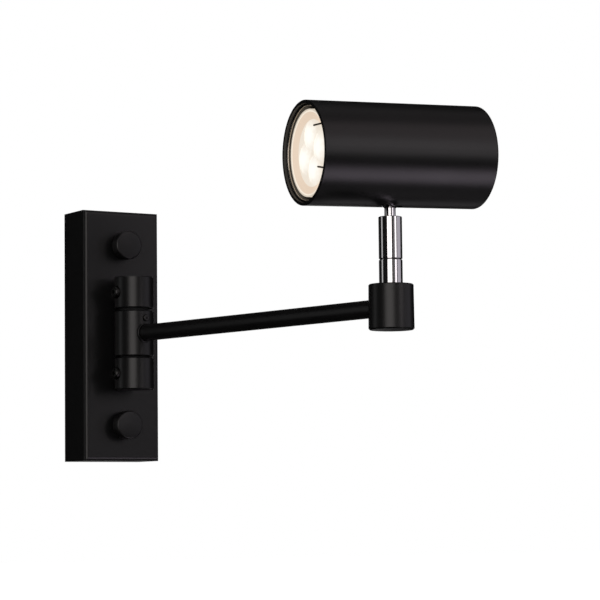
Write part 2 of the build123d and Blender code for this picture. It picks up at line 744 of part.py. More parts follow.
# The headless screw under the cap that bears on the arm tube.
end_screw_foot = barrel_foot + barrel_cap_thickness + running_gap
with BuildPart() as arm_end_screw:
    with BuildSketch(stem_plane.offset(end_screw_foot)):
        with Locations((-end_screw_radius, 0)):
            Circle(arm_end_screw_diameter / 2)
            RegularPolygon(arm_end_screw_diameter / 4, 6, major_radius=False, mode=Mode.SUBTRACT)
    extrude(amount=arm_end_screw_diameter / 2)
    with BuildSketch(stem_plane.offset(end_screw_foot + arm_end_screw_diameter / 2)):
        with Locations((-end_screw_radius, 0)):
            Circle(arm_end_screw_diameter / 2)
    extrude(amount=-arm_diameter / 2 - running_gap - end_screw_foot - arm_end_screw_diameter / 2)
arm_end_screw.part.label = "arm_end_screw"
export_step(arm_end_screw.part, "parts/arm_end_screw.step")

# ========================================================================================= swivel
# The fixed lower length of the stem, clamped between the barrel and the nipple's washer.
with BuildPart() as lower_stem:
    with BuildSketch(stem_plane.offset(barrel_top)):
        Circle(stem_diameter / 2)
    extrude(amount=lower_stem_length)
    chamfer(lower_stem.edges().group_by(Axis.Z)[-1], stem_chamfer)
    with BuildSketch(stem_plane.offset(barrel_top)):
        Circle(nipple_diameter / 2 + fit_gap)
    extrude(amount=lower_stem_length, mode=Mode.SUBTRACT)
lower_stem.part.label = "lower_stem"
export_step(lower_stem.part, "parts/lower_stem.step")

# The plastic washer that shows as a fine line between the two lengths.
with BuildPart() as swivel_washer:
    with BuildSketch(stem_plane.offset(lower_stem_top)):
        Circle(swivel_washer_diameter / 2)
        Circle(nipple_diameter / 2 + fit_gap, mode=Mode.SUBTRACT)
    extrude(amount=swivel_washer_thickness)
swivel_washer.part.label = "swivel_washer"
export_step(swivel_washer.part, "parts/swivel_washer.step")

# The hollow nipple on which the upper stem turns; its head holds the upper stem down.
with BuildPart() as swivel_nipple:
    with BuildSketch(stem_plane.offset(nipple_foot)):
        Circle(nipple_diameter / 2)
    extrude(amount=nipple_head_foot - nipple_foot)
    with BuildSketch(stem_plane.offset(nipple_head_foot)):
        Circle(nipple_head_diameter / 2)
    extrude(amount=nipple_head_height)
    with BuildSketch(stem_plane.offset(nipple_foot)):
        Circle(lead_bore / 2)
    extrude(amount=nipple_top - nipple_foot, mode=Mode.SUBTRACT)
swivel_nipple.part.label = "swivel_nipple"
export_step(swivel_nipple.part, "parts/swivel_nipple.step")

with BuildPart() as nipple_nut:
    with BuildSketch(stem_plane.offset(chamber_roof - nipple_nut_height)):
        RegularPolygon(nipple_nut_flats / 2, 6, major_radius=False)
        Circle(nipple_diameter / 2 + fit_gap, mode=Mode.SUBTRACT)
    extrude(amount=nipple_nut_height)
nipple_nut.part.label = "nipple_nut"
export_step(nipple_nut.part, "parts/nipple_nut.step")

# ===================================================================================== upper stem
# The turning length: a running bore below, a wide bore above for the nipple's head and the plug.
with BuildPart() as upper_stem:
    with BuildSketch(stem_plane.offset(upper_stem_foot)):
        Circle(stem_diameter / 2)
    extrude(amount=upper_stem_length)
    chamfer(upper_stem.edges().filter_by(GeomType.CIRCLE), stem_chamfer)
    with BuildSketch(stem_plane.offset(upper_stem_foot)):
        Circle(nipple_diameter / 2 + running_gap)
    extrude(amount=upper_stem_length, mode=Mode.SUBTRACT)
    with BuildSketch(stem_plane.offset(spring_foot)):
        Circle(stem_bore / 2)
    extrude(amount=upper_stem_length, mode=Mode.SUBTRACT)
upper_stem.part.label = "upper_stem"
export_step(upper_stem.part, "parts/upper_stem.step")

# A dished spring washer under the nipple's head gives the swivel its drag.
spring_inner = nipple_diameter / 2 + running_gap
spring_outer = stem_bore / 2 - hole_clearance
with BuildPart() as swivel_spring:
    with BuildSketch(stem_section):
        with BuildLine():
            Polyline(
                (spring_outer, spring_foot),
                (spring_outer, spring_foot + spring_thickness),
                (spring_inner, spring_foot + spring_height),
                (spring_inner, spring_foot + spring_height - spring_thickness),
                close=True,
            )
        make_face()
    revolve(axis=stem_axis)
swivel_spring.part.label = "swivel_spring"
export_step(swivel_spring.part, "parts/swivel_spring.step")

# The plug, neck and flat-sided ball, turned in one piece and bored for the lead. The flats keep the
# head from leaning sideways, so that it tilts in one plane.
with BuildPart() as ball_neck:
    with Locations(ball_plane):
        Sphere(ball_radius)
    with BuildSketch(ball_plane.offset(-ball_radius)):
        Rectangle(ball_diameter, ball_flats)
    extrude(amount=ball_diameter, mode=Mode.INTERSECT)
    with BuildSketch(stem_plane.offset(stem_top)):
        Circle(ball_neck_diameter / 2)
    extrude(amount=ball_rise)
    with BuildSketch(stem_plane.offset(stem_top - plug_length)):
        Circle(stem_bore / 2 - fit_gap)
    extrude(amount=plug_length)
    with BuildSketch(stem_plane.offset(stem_top - plug_length)):
        Circle(lead_bore / 2)
    extrude(amount=plug_length + ball_rise + ball_radius, mode=Mode.SUBTRACT)
ball_neck.part.label = "ball_neck"
export_step(ball_neck.part, "parts/ball_neck.step")

# The lead through the stem and the ball.
with BuildPart() as stem_lead:
    with BuildSketch(stem_plane.offset(nipple_top + running_gap)):
        Circle(lead_diameter / 2)
    extrude(amount=ball_level + ball_radius - lead_clearance - nipple_top - running_gap)
stem_lead.part.label = "stem_lead"
export_step(stem_lead.part, "parts/stem_lead.step")

# ====================================================================================== head tube
# A drawn tube with a sharp front rim and a rounded rear rim; the slot below lets the neck swing.
tilt = radians(tilt_limit)
neck_sweep = (ball_inset + head_wall) * tan(tilt) + ball_neck_diameter / (2 * cos(tilt))
ball_at_wall = sqrt(ball_radius**2 - ball_inset**2)
slot_half_length = max(neck_sweep, ball_at_wall) + lead_clearance
slot_half_width = ball_flats / 2 + lead_clearance
with BuildPart() as head_tube:
    with BuildSketch(along_head(head_back)):
        Circle(head_radius)
        Circle(head_bore_radius, mode=Mode.SUBTRACT)
    extrude(amount=head_length)
    chamfer(head_tube.edges().group_by(tube_axis)[-1].sort_by(SortBy.RADIUS)[-1], head_rim_chamfer)
    fillet(head_tube.edges().group_by(tube_axis)[0].sort_by(SortBy.RADIUS)[-1], head_rear_radius)
    with BuildSketch(head_plane):
        RectangleRounded(2 * slot_half_length, 2 * slot_half_width, neck_slot_radius)
    extrude(amount=-head_radius, mode=Mode.SUBTRACT)
head_tube.part.label = "head_tube"
export_step(head_tube.part, "parts/head_tube.step")

# The disc pressed into the rear end, a little in from the rim.
rear_face = head_back + rear_inset
with BuildPart() as rear_disc:
    with BuildSketch(along_head(rear_face)):
        Circle(head_bore_radius - fit_gap)
    extrude(amount=rear_disc_thickness)
    with BuildSketch(along_head(rear_face + rear_disc_thickness)):
        Circle(head_bore_radius - fit_gap)
        Circle(head_bore_radius - rear_skirt_wall, mode=Mode.SUBTRACT)
    extrude(amount=rear_skirt_length)
rear_disc.part.label = "rear_disc"
export_step(rear_disc.part, "parts/rear_disc.step")

# ===================================================================================== tilt joint
# The seat of the ball: a block brazed to the tube's floor and a clamp screwed down on it. Together
# they hold a flat-sided spherical pocket.
with BuildPart() as ball_pocket:
    with BuildSketch(head_plane.offset(-pocket_radius)):
        Rectangle(2 * pocket_radius, ball_flats + 2 * running_gap)
    extrude(amount=2 * pocket_radius)
    with Locations(head_plane):
        Sphere(pocket_radius, mode=Mode.INTERSECT)

with BuildPart() as tilt_block:
    with BuildSketch(head_plane.offset(tilt_block_top)):
        Rectangle(tilt_block_length, tilt_block_width)
    extrude(amount=-tilt_block_top - head_radius)
    with BuildSketch(along_head(-tilt_block_length)):
        Circle(head_bore_radius - running_gap)
    extrude(amount=2 * tilt_block_length, mode=Mode.INTERSECT)
    add(ball_pocket.part, mode=Mode.SUBTRACT)
    with BuildSketch(head_plane.offset(tilt_block_top)):
        with GridLocations(clamp_screw_spacing, clamp_screw_pitch, 2, 2):
            Circle(clamp_screw_diameter / 2 + fit_gap)
    extrude(amount=-head_radius, mode=Mode.SUBTRACT)
tilt_block.part.label = "tilt_block"
export_step(tilt_block.part, "parts/tilt_block.step")

# The clamp's window lets the lead out of the ball over the whole tilt.
clamp_foot = tilt_block_top + clamp_gap
window_half_length = tilt_clamp_top * tan(tilt) + lead_bore / (2 * cos(tilt))
clamp_sink_depth = (clamp_screw_head_diameter - clamp_screw_diameter) / (2 * tan(radians(clamp_sink_angle)))
with BuildPart() as tilt_clamp:
    with BuildSketch(head_plane.offset(clamp_foot)):
        Rectangle(tilt_block_length, tilt_clamp_width)
    extrude(amount=tilt_clamp_top - clamp_foot)
    fillet(tilt_clamp.edges().filter_by(Axis(ball_point, head_plane.z_dir)), tilt_clamp_corner)
    add(ball_pocket.part, mode=Mode.SUBTRACT)
    with BuildSketch(head_plane):
        SlotOverall(2 * window_half_length, lead_bore)
        with GridLocations(clamp_screw_spacing, clamp_screw_pitch, 2, 2):
            Circle(clamp_screw_diameter / 2 + hole_clearance)
    extrude(amount=tilt_clamp_top, mode=Mode.SUBTRACT)
    with BuildSketch(head_plane.offset(tilt_clamp_top)):
        with Locations((clamp_screw_spacing / 2, 0)):
            with GridLocations(0, clamp_screw_pitch, 1, 2):
                Circle(clamp_screw_head_diameter / 2 + fit_gap)
    extrude(amount=-clamp_sink_depth, taper=clamp_sink_angle, mode=Mode.SUBTRACT)
tilt_clamp.part.label = "tilt_clamp"
export_step(tilt_clamp.part, "parts/tilt_clamp.step")

# ==================================================================================== lampholder
# A strip bent to an L: the rear clamp screws hold its foot, and its upright carries the lampholder
# on the tube's axis. The lead passes back through its notch and forward through its round hole.
strip_top = tilt_clamp_top + strip_thickness
strip_toe = -window_half_length - strip_foot_gap
strip_head = head_rise + holder_screw_spacing / 2 + strip_top_margin
lead_level = strip_top + lead_clearance + lead_diameter / 2
holder_radius = head_rise - lead_level - lead_diameter / 2 - lead_clearance
with BuildPart() as holder_bracket:
    with BuildSketch(head_side):
        with BuildLine():
            Polyline(
                (strip_toe, tilt_clamp_top),
                (strip_toe, strip_top),
                (holder_back, strip_top),
                (holder_back, strip_head),
                (strip_back, strip_head),
                (strip_back, tilt_clamp_top),
                close=True,
            )
        make_face()
    extrude(amount=strip_width / 2, both=True)
    with BuildSketch(head_plane):
        with Locations((-clamp_screw_spacing / 2, 0)):
            with GridLocations(0, clamp_screw_pitch, 1, 2):
                Circle(clamp_screw_diameter / 2 + hole_clearance)
    extrude(amount=strip_top, mode=Mode.SUBTRACT)
    with BuildSketch(along_head(strip_back)):
        Circle(lead_bore / 2)
        with GridLocations(0, holder_screw_spacing, 1, 2):
            Circle(holder_screw_diameter / 2 + hole_clearance)
        with Locations((0, lead_level - head_rise)):
            Circle(lead_bore / 2)
        with Locations((0, (lead_level + strip_top) / 2 - head_rise)):
            Rectangle(lead_bore, lead_level - strip_top)
    extrude(amount=strip_thickness, mode=Mode.SUBTRACT)
holder_bracket.part.label = "holder_bracket"
export_step(holder_bracket.part, "parts/holder_bracket.step")

# Four screws through the clamp into the block: the front pair is sunk flush under the lamp, and the
# cap heads of the rear pair also hold the strip.
with BuildPart() as clamp_screws:
    with BuildSketch(head_plane):
        with GridLocations(clamp_screw_spacing, clamp_screw_pitch, 2, 2):
            Circle(clamp_screw_diameter / 2)
    extrude(amount=tilt_clamp_top)
    with BuildSketch(head_plane.offset(tilt_clamp_top)):
        with Locations((clamp_screw_spacing / 2, 0)):
            with GridLocations(0, clamp_screw_pitch, 1, 2):
                Circle(clamp_screw_head_diameter / 2)
    extrude(amount=-clamp_sink_depth, taper=clamp_sink_angle)
    with BuildSketch(head_plane.offset(tilt_clamp_top)):
        with Locations((-clamp_screw_spacing / 2, 0)):
            with GridLocations(0, clamp_screw_pitch, 1, 2):
                Circle(clamp_screw_diameter / 2)
    extrude(amount=strip_thickness)
    with BuildSketch(head_plane.offset(strip_top)):
        with Locations((-clamp_screw_spacing / 2, 0)):
            with GridLocations(0, clamp_screw_pitch, 1, 2):
                Circle(clamp_screw_head_diameter / 2)
    extrude(amount=clamp_screw_head_height)
    with BuildSketch(head_plane.offset(strip_top + clamp_screw_head_height / 2)):
        with Locations((-clamp_screw_spacing / 2, 0)):
            with GridLocations(0, clamp_screw_pitch, 1, 2):
                RegularPolygon(clamp_screw_head_diameter / 4, 6, major_radius=False)
    extrude(amount=clamp_screw_head_height, mode=Mode.SUBTRACT)
    with BuildSketch(head_plane.offset(tilt_clamp_top)):
        with Locations((clamp_screw_spacing / 2, 0)):
            with GridLocations(0, clamp_screw_pitch, 1, 2):
                RegularPolygon(clamp_screw_diameter / 3, 6, major_radius=False)
    extrude(amount=-clamp_screw_diameter / 2, mode=Mode.SUBTRACT)
clamp_screws.part.label = "clamp_screws"
export_step(clamp_screws.part, "parts/clamp_screws.step")

# The ceramic lampholder for a two-pin twist-and-lock lamp.
with BuildPart() as lampholder:
    with BuildSketch(along_head(holder_back)):
        Circle(holder_radius)
    extrude(amount=holder_length)
    chamfer(lampholder.edges().filter_by(GeomType.CIRCLE), holder_chamfer)
    with BuildSketch(along_head(lamp_back)):
        with GridLocations(lamp_pin_spacing, 0, 2, 1):
            Circle(holder_pin_hole_diameter / 2)
    extrude(amount=-holder_pin_hole_depth, mode=Mode.SUBTRACT)
    with BuildSketch(along_head(holder_back)):
        Circle(lead_bore / 2)
    extrude(amount=holder_entry_depth, mode=Mode.SUBTRACT)
    with BuildSketch(along_head(holder_back)):
        with GridLocations(0, holder_screw_spacing, 1, 2):
            Circle(holder_screw_diameter / 2 + fit_gap)
    extrude(amount=holder_screw_bite, mode=Mode.SUBTRACT)
lampholder.part.label = "lampholder"
export_step(lampholder.part, "parts/lampholder.step")

# Two pan screws that hold it on the strip.
with BuildPart() as holder_screws:
    with BuildSketch(along_head(strip_back)):
        with GridLocations(0, holder_screw_spacing, 1, 2):
            Circle(holder_screw_head_diameter / 2)
    extrude(amount=-holder_screw_head_height)
    fillet(holder_screws.edges().group_by(tube_axis)[0], holder_screw_head_height / 2)
    with BuildSketch(along_head(strip_back)):
        with GridLocations(0, holder_screw_spacing, 1, 2):
            Circle(holder_screw_diameter / 2)
    extrude(amount=strip_thickness + holder_screw_bite - running_gap)
    with BuildSketch(along_head(strip_back - holder_screw_head_height / 2)):
        with GridLocations(0, holder_screw_spacing, 1, 2):
            Rectangle(holder_screw_head_diameter, holder_screw_head_diameter / 7)
    extrude(amount=-holder_screw_head_height, mode=Mode.SUBTRACT)
holder_screws.part.label = "holder_screws"
export_step(holder_screws.part, "parts/holder_screws.step")

# The lead from the ball back through the strip and round into the lampholder.
lead_turn = strip_back - head_lead_tail
lay_lead(
    "head_lead",
    [
        head_side.from_local_coords(Vector(*point, 0))
        for point in (
            (0, pocket_radius + lead_clearance),
            (0, lead_level),
            (lead_turn, lead_level),
            (lead_turn, head_rise),
            (holder_back + holder_entry_depth - lead_clearance, head_rise),
        )
    ],
    head_lead_bend,
)

# ========================================================================================== lamp
# The lamp's body: a stepped base, a cone that widens to the rim, and a cavity behind the lens.
lens_front = lamp_face - lens_margin
lens_back = lens_front - lens_thickness
lens_radius = lamp_diameter / 2 - lamp_rim_wall - fit_gap
board_seat = lens_back - cavity_depth
rim_back = lamp_face - lamp_rim_length
cavity_radius = lens_radius - lens_seat
with BuildPart() as lamp_body:
    with BuildSketch(tube_section):
        with BuildLine():
            Polyline(
                (lamp_back, 0),
                (lamp_back, lamp_base_diameter / 2 - lamp_base_chamfer),
                (lamp_back + lamp_base_chamfer, lamp_base_diameter / 2),
                (lamp_back + lamp_base_length, lamp_base_diameter / 2),
                (rim_back, lamp_diameter / 2 - lamp_rim_wall),
                (rim_back, lamp_diameter / 2),
                (lamp_face, lamp_diameter / 2),
                (lamp_face, lens_radius + fit_gap),
                (lens_back, lens_radius + fit_gap),
                (lens_back, cavity_radius),
                (board_seat, cavity_radius),
                (board_seat, 0),
                close=True,
            )
        make_face()
    revolve(axis=tube_axis)
lamp_body.part.label = "lamp_body"
export_step(lamp_body.part, "parts/lamp_body.step")

# The light board on the cavity's floor, with one chip behind each lens.
with BuildPart() as led_board:
    with BuildSketch(along_head(board_seat)):
        Circle(cavity_radius - fit_gap)
    extrude(amount=board_thickness)
    with BuildSketch(along_head(board_seat + board_thickness)):
        with PolarLocations(lobe_circle_diameter / 2, lobe_count, start_angle=lobe_turn):
            Rectangle(chip_size, chip_size)
    extrude(amount=chip_height)
led_board.part.label = "led_board"
export_step(led_board.part, "parts/led_board.step")

# The lens plate: a flat annulus round a sunk zone in which the four shallow lenses overlap.
zone_face = lens_front - lens_zone_depth
lobe_sphere = (lobe_diameter**2 / 4 + lobe_height**2) / (2 * lobe_height)
with BuildPart() as lens_lobes:
    with Locations(along_head(zone_face + lobe_height - lobe_sphere)):
        with PolarLocations(lobe_circle_diameter / 2, lobe_count, start_angle=lobe_turn):
            Sphere(lobe_sphere)
    with BuildSketch(along_head(zone_face)):
        Circle(lens_zone_diameter / 2)
    extrude(amount=lobe_height, mode=Mode.INTERSECT)

with BuildPart() as lamp_lens:
    with BuildSketch(along_head(lens_back)):
        Circle(lens_radius)
    extrude(amount=lens_thickness)
    with BuildSketch(along_head(zone_face)):
        Circle(lens_zone_diameter / 2)
    extrude(amount=lens_zone_depth, mode=Mode.SUBTRACT)
    add(lens_lobes.part)
lamp_lens.part.label = "lamp_lens"
export_step(lamp_lens.part, "parts/lamp_lens.step")

# Two contact pins with broad feet.
with BuildPart() as lamp_pins:
    with BuildSketch(along_head(lamp_back)):
        with GridLocations(lamp_pin_spacing, 0, 2, 1):
            Circle(lamp_pin_diameter / 2)
    extrude(amount=-lamp_pin_length)
    with BuildSketch(along_head(lamp_back - lamp_pin_length)):
        with GridLocations(lamp_pin_spacing, 0, 2, 1):
            Circle(lamp_pin_foot_diameter / 2)
    extrude(amount=lamp_pin_foot_length)
lamp_pins.part.label = "lamp_pins"
export_step(lamp_pins.part, "parts/lamp_pins.step")

# The open ring of spring wire that keeps the lamp in: it springs into the tube's mouth, and its two
# ends are bent in as ears over the lamp's rim.
clip_radius = head_bore_radius - clip_wire / 2 - fit_gap


def ear_tip(root_angle, length, slope):
    """The free end of an ear that leaves the ring at an angle and rises towards the axis."""
    return (
        clip_radius * cos(radians(root_angle)) - length * cos(radians(slope)),
        clip_radius * sin(radians(root_angle)) + length * sin(radians(slope)),
    )


with BuildPart() as lamp_clip:
    with BuildLine(along_head(lamp_face + clip_wire / 2 + fit_gap)) as clip_route:
        ring = CenterArc(
            (0, 0), clip_radius, clip_upper_ear_angle, 360 + clip_lower_ear_angle - clip_upper_ear_angle
        )
        upper_tip = ear_tip(clip_upper_ear_angle, clip_upper_ear_length, clip_upper_ear_slope)
        lower_tip = ear_tip(clip_lower_ear_angle, clip_lower_ear_length, clip_lower_ear_slope)
        Line(upper_tip, ring @ 0)
        Line(ring @ 1, lower_tip)
        fillet(clip_route.vertices().sort_by_distance(tube_centre)[-2:], clip_bend_radius)
    with BuildSketch(Plane(origin=clip_route.line @ 0, z_dir=clip_route.line % 0)):
        Circle(clip_wire / 2)
    sweep()
lamp_clip.part.label = "lamp_clip"
export_step(lamp_clip.part, "parts/lamp_clip.step")
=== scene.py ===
import json
from math import cos, pi, radians, sin

import bpy
from mathutils import Matrix, Vector


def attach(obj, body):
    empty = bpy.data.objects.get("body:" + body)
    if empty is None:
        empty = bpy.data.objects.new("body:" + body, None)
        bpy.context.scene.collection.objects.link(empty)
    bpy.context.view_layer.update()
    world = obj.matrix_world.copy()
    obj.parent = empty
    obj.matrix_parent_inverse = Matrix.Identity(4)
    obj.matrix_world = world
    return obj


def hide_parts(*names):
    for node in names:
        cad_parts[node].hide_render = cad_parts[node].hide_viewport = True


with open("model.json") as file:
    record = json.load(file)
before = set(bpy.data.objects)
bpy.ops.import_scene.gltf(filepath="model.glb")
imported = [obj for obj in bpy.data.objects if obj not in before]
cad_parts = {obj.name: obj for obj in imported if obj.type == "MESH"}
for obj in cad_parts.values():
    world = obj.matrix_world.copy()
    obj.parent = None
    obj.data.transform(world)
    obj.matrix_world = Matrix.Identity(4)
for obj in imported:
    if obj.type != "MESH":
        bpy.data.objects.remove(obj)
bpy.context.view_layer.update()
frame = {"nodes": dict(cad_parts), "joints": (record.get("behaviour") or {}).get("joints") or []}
nodes = frame["nodes"]

# ------------------------------------------------------------------------------- wall bracket
# A channel folded from 1.5 mm steel sheet, zinc plated, screwed to the wall through its two
# upright slots. The two studs are pressed into it, and the earth screw is screwed into it.


class Finish:
    """A material's node tree and one value in it; arithmetic on the value adds Math nodes."""

    def __init__(self, tree, socket=None):
        self.tree = tree
        self.socket = socket

    def node(self, kind, settings=None, inputs=None, output=0):
        """Adds a node, sets its settings and then its sockets, and returns one of its outputs."""
        made = self.tree.nodes.new(kind)
        for name, value in (settings or {}).items():
            setattr(made, name, value)
        for name, value in (inputs or {}).items():
            socket = made.inputs[name]
            if isinstance(value, Finish):
                self.tree.links.new(value.socket, socket)
            else:
                socket.default_value = value
        return Finish(self.tree, made.outputs[output] if made.outputs else None)

    def maths(self, operation, *values):
        return self.node("ShaderNodeMath", {"operation": operation}, dict(enumerate(values)))

    def vector(self, operation, *values, output="Vector"):
        return self.node(
            "ShaderNodeVectorMath", {"operation": operation}, dict(enumerate(values)), output
        )

    def __add__(self, other):
        return self.maths("ADD", self, other)

    def __radd__(self, other):
        return self.maths("ADD", other, self)

    def __sub__(self, other):
        return self.maths("SUBTRACT", self, other)

    def __rsub__(self, other):
        return self.maths("SUBTRACT", other, self)

    def __mul__(self, other):
        return self.maths("MULTIPLY", self, other)

    def __rmul__(self, other):
        return self.maths("MULTIPLY", other, self)

    def place(self):
        """The point on the surface, in metres."""
        return self.node("ShaderNodeTexCoord", output="Object")

    def noise(self, scale, detail=3.0, roughness=0.5):
        """Cloudy noise from 0 to 1."""
        return self.node(
            "ShaderNodeTexNoise",
            {"noise_dimensions": "3D"},
            {"Vector": self.place(), "Scale": scale, "Detail": detail, "Roughness": roughness},
        )

    def ramp(self, value, low, high):
        """0 below low, 1 above high and smooth between."""
        return self.node(
            "ShaderNodeMapRange",
            {"interpolation_type": "SMOOTHSTEP"},
            {"Value": value, "From Min": low, "From Max": high},
        )

    def blend(self, factor, first, second):
        """A colour between two."""
        return self.node(
            "ShaderNodeMix",
            {"data_type": "RGBA"},
            {0: factor, 6: first, 7: second},
            output=2,
        )

    def bump(self, height, depth):
        """The normal of a surface that rises by a height times a depth in metres."""
        return self.node("ShaderNodeBump", None, {"Height": height, "Distance": depth})


def new_finish(name):
    """An empty node material, with the tree to build it in."""
    material = bpy.data.materials.new(name)
    material.use_nodes = True
    material.node_tree.nodes.clear()
    return material, Finish(material.node_tree)


def surface(tree, **inputs):
    """Closes a material with a principled shader; underscores in a socket's name stand for spaces."""
    shader = tree.node(
        "ShaderNodeBsdfPrincipled",
        None,
        {name.replace("_", " "): value for name, value in inputs.items()},
    )
    tree.node("ShaderNodeOutputMaterial", None, {"Surface": shader})


def coat(material, *names):
    """Gives CAD nodes their finish."""
    for name in names:
        for holder in nodes[name].material_slots:
            holder.material = material


zinc_plate, tree = new_finish("zinc_plate")
spangle = tree.noise(420.0, 2.0)
haze = tree.noise(35.0)
surface(
    tree,
    Base_Color=tree.blend(spangle, (0.50, 0.52, 0.56, 1), (0.66, 0.67, 0.68, 1)),
    Metallic=1.0,
    Roughness=0.22 + 0.16 * haze,
    Normal=tree.bump(spangle, 0.00002),
)
coat(zinc_plate, "wall_bracket", "bracket_studs", "terminal_screws", "neck_washers", "neck_nuts")
coat(zinc_plate, "arm_end_screw", "clamp_screws", "holder_bracket", "holder_screws")

# ------------------------------------------------------------------------------ cable grommet
# A soft ring moulded in black rubber. It snaps into the bracket's round hole and keeps the hole's
# edge off the supply cable.
black_rubber, tree = new_finish("black_rubber")
bloom = tree.noise(90.0, 4.0)
surface(
    tree,
    Base_Color=tree.blend(bloom, (0.012, 0.012, 0.012, 1), (0.03, 0.03, 0.03, 1)),
    Roughness=0.62 + 0.2 * bloom,
    Normal=tree.bump(tree.noise(1500.0), 0.00003),
)
coat(black_rubber, "cable_grommet")

# ------------------------------------------------------------------ earth screw, terminal block
# A slotted brass earth screw on its cupped washer, and a three-pole terminal block in natural
# nylon whose six screws clamp the supply on one side and the lamp's lead on the other.
brass, tree = new_finish("brass")
stain = tree.noise(60.0, 4.0)
surface(
    tree,
    Base_Color=tree.blend(stain, (0.70, 0.50, 0.22, 1), (0.60, 0.40, 0.15, 1)),
    Metallic=1.0,
    Roughness=0.2 + 0.15 * stain,
    Normal=tree.bump(tree.noise(900.0), 0.00001),
)
coat(brass, "earth_screw", "swivel_nipple", "nipple_nut", "tilt_block", "tilt_clamp")

white_nylon, tree = new_finish("white_nylon")
cloud = tree.noise(70.0)
surface(
    tree,
    Base_Color=tree.blend(cloud, (0.78, 0.76, 0.70, 1), (0.84, 0.83, 0.78, 1)),
    Roughness=0.42 + 0.1 * cloud,
    Normal=tree.bump(tree.noise(1200.0), 0.00002),
)
coat(white_nylon, "terminal_block")

# ----------------------------------------------------------------------------- box and its nuts
# A pan pressed from 1.2 mm steel with rolled front edges, stoved with a satin black enamel. Two
# mushroom-shaped cap nuts, turned with a rounded rim and a bored neck and enamelled alike, hold it
# on the bracket's studs.
black_enamel, tree = new_finish("black_enamel")
peel = tree.noise(1100.0, 2.0)
flow = tree.noise(160.0, 2.0)
sheen = tree.noise(28.0, 3.0)
surface(
    tree,
    Base_Color=tree.blend(sheen, (0.0030, 0.0028, 0.0030, 1), (0.0044, 0.0042, 0.0045, 1)),
    Roughness=0.32 + 0.06 * sheen,
    Normal=tree.bump(peel + 0.8 * flow, 0.000012),
)
coat(black_enamel, "back_box", "lower_knuckle", "upper_knuckle", "middle_knuckle")
coat(black_enamel, "arm_tube", "arm_barrel", "barrel_cap", "head_tube", "rear_disc")

box_depth = 0.03
cap_radius = 0.00925
cap_thickness = 0.0065
cap_rim_rounding = 0.0011
cap_neck_radius = 0.004
cap_standoff = 0.0045
stud_radius = 0.002
stud_depth = 0.008
cap_rise = 0.0585


def turned_disc(name, radius, thickness, foot, sides):
    """A closed disc round the Z axis that starts at a level, ready to be shaped."""
    bpy.ops.object.select_all(action="DESELECT")
    bpy.ops.mesh.primitive_cylinder_add(
        vertices=sides, radius=radius, depth=thickness, location=(0, 0, foot + thickness / 2)
    )
    disc = bpy.context.object
    disc.name = name
    bpy.ops.object.transform_apply()
    return disc


def pick_faces(piece, wanted):
    """Goes into edit mode with only the faces selected whose middle and normal pass a test."""
    bpy.ops.object.mode_set(mode="EDIT")
    bpy.ops.mesh.select_mode(type="FACE")
    bpy.ops.mesh.select_all(action="DESELECT")
    bpy.ops.object.mode_set(mode="OBJECT")
    for face in piece.data.polygons:
        face.select = wanted(face.center, face.normal)
    bpy.ops.object.mode_set(mode="EDIT")


def push(distance):
    """Extrudes the selected faces along Z."""
    bpy.ops.mesh.extrude_region_move(TRANSFORM_OT_translate={"value": (0, 0, distance)})


def round_edges(piece, width, segments, angle):
    """Rounds the edges that are sharper than an angle."""
    rounding = piece.modifiers.new("rounding", "BEVEL")
    rounding.width = width
    rounding.segments = segments
    rounding.limit_method = "ANGLE"
    rounding.angle_limit = radians(angle)
    bpy.ops.object.modifier_apply(modifier="rounding")


turned_caps = turned_disc("turned_caps", cap_radius, cap_thickness, cap_standoff, sides=96)
pick_faces(turned_caps, lambda middle, normal: normal.z > 0.9)
bpy.ops.mesh.bevel(offset=cap_rim_rounding, segments=5)
pick_faces(turned_caps, lambda middle, normal: normal.z < -0.9)
bpy.ops.mesh.inset(thickness=cap_radius - cap_neck_radius)
push(-cap_standoff)
bpy.ops.mesh.inset(thickness=cap_neck_radius - stud_radius)
push(stud_depth)
bpy.ops.object.mode_set(mode="OBJECT")
turned_caps.data.transform(Matrix.Rotation(pi / 2, 4, "X"))
turned_caps.data.transform(Matrix.Translation((0, -box_depth, cap_rise)))
lower_cap = turned_caps.copy()
lower_cap.data = turned_caps.data.copy()
lower_cap.data.transform(Matrix.Translation((0, 0, -2 * cap_rise)))
bpy.context.scene.collection.objects.link(lower_cap)
lower_cap.select_set(True)
bpy.ops.object.join()
bpy.ops.object.shade_smooth_by_angle(angle=radians(30))
turned_caps.data.materials.append(black_enamel)
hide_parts("cap_nuts")
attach(turned_caps, "wall_body")

# ------------------------------------------------------------------------- hinge and its screws
# Turned knuckles on a hollow steel pin, with nylon washers between them and flush nylon plugs in
# the ends. Blackened steel socket screws lock the pin, and a small one sets the hinge's drag.
black_steel, tree = new_finish("black_steel")
oxide = tree.noise(500.0, 3.0)
surface(
    tree,
    Base_Color=tree.blend(oxide, (0.045, 0.045, 0.045, 1), (0.08, 0.078, 0.076, 1)),
    Metallic=1.0,
    Roughness=0.32 + 0.14 * oxide,
    Normal=tree.bump(oxide, 0.000006),
)
coat(black_steel, "pin_screws", "friction_screw")

polished_steel, tree = new_finish("polished_steel")
swirl = tree.noise(700.0, 2.0)
surface(
    tree,
    Base_Color=tree.blend(swirl, (0.72, 0.71, 0.70, 1), (0.80, 0.79, 0.78, 1)),
    Metallic=1.0,
    Roughness=0.12 + 0.08 * swirl,
    Normal=tree.bump(swirl, 0.000004),
)
coat(polished_steel, "hinge_pin", "swivel_spring")

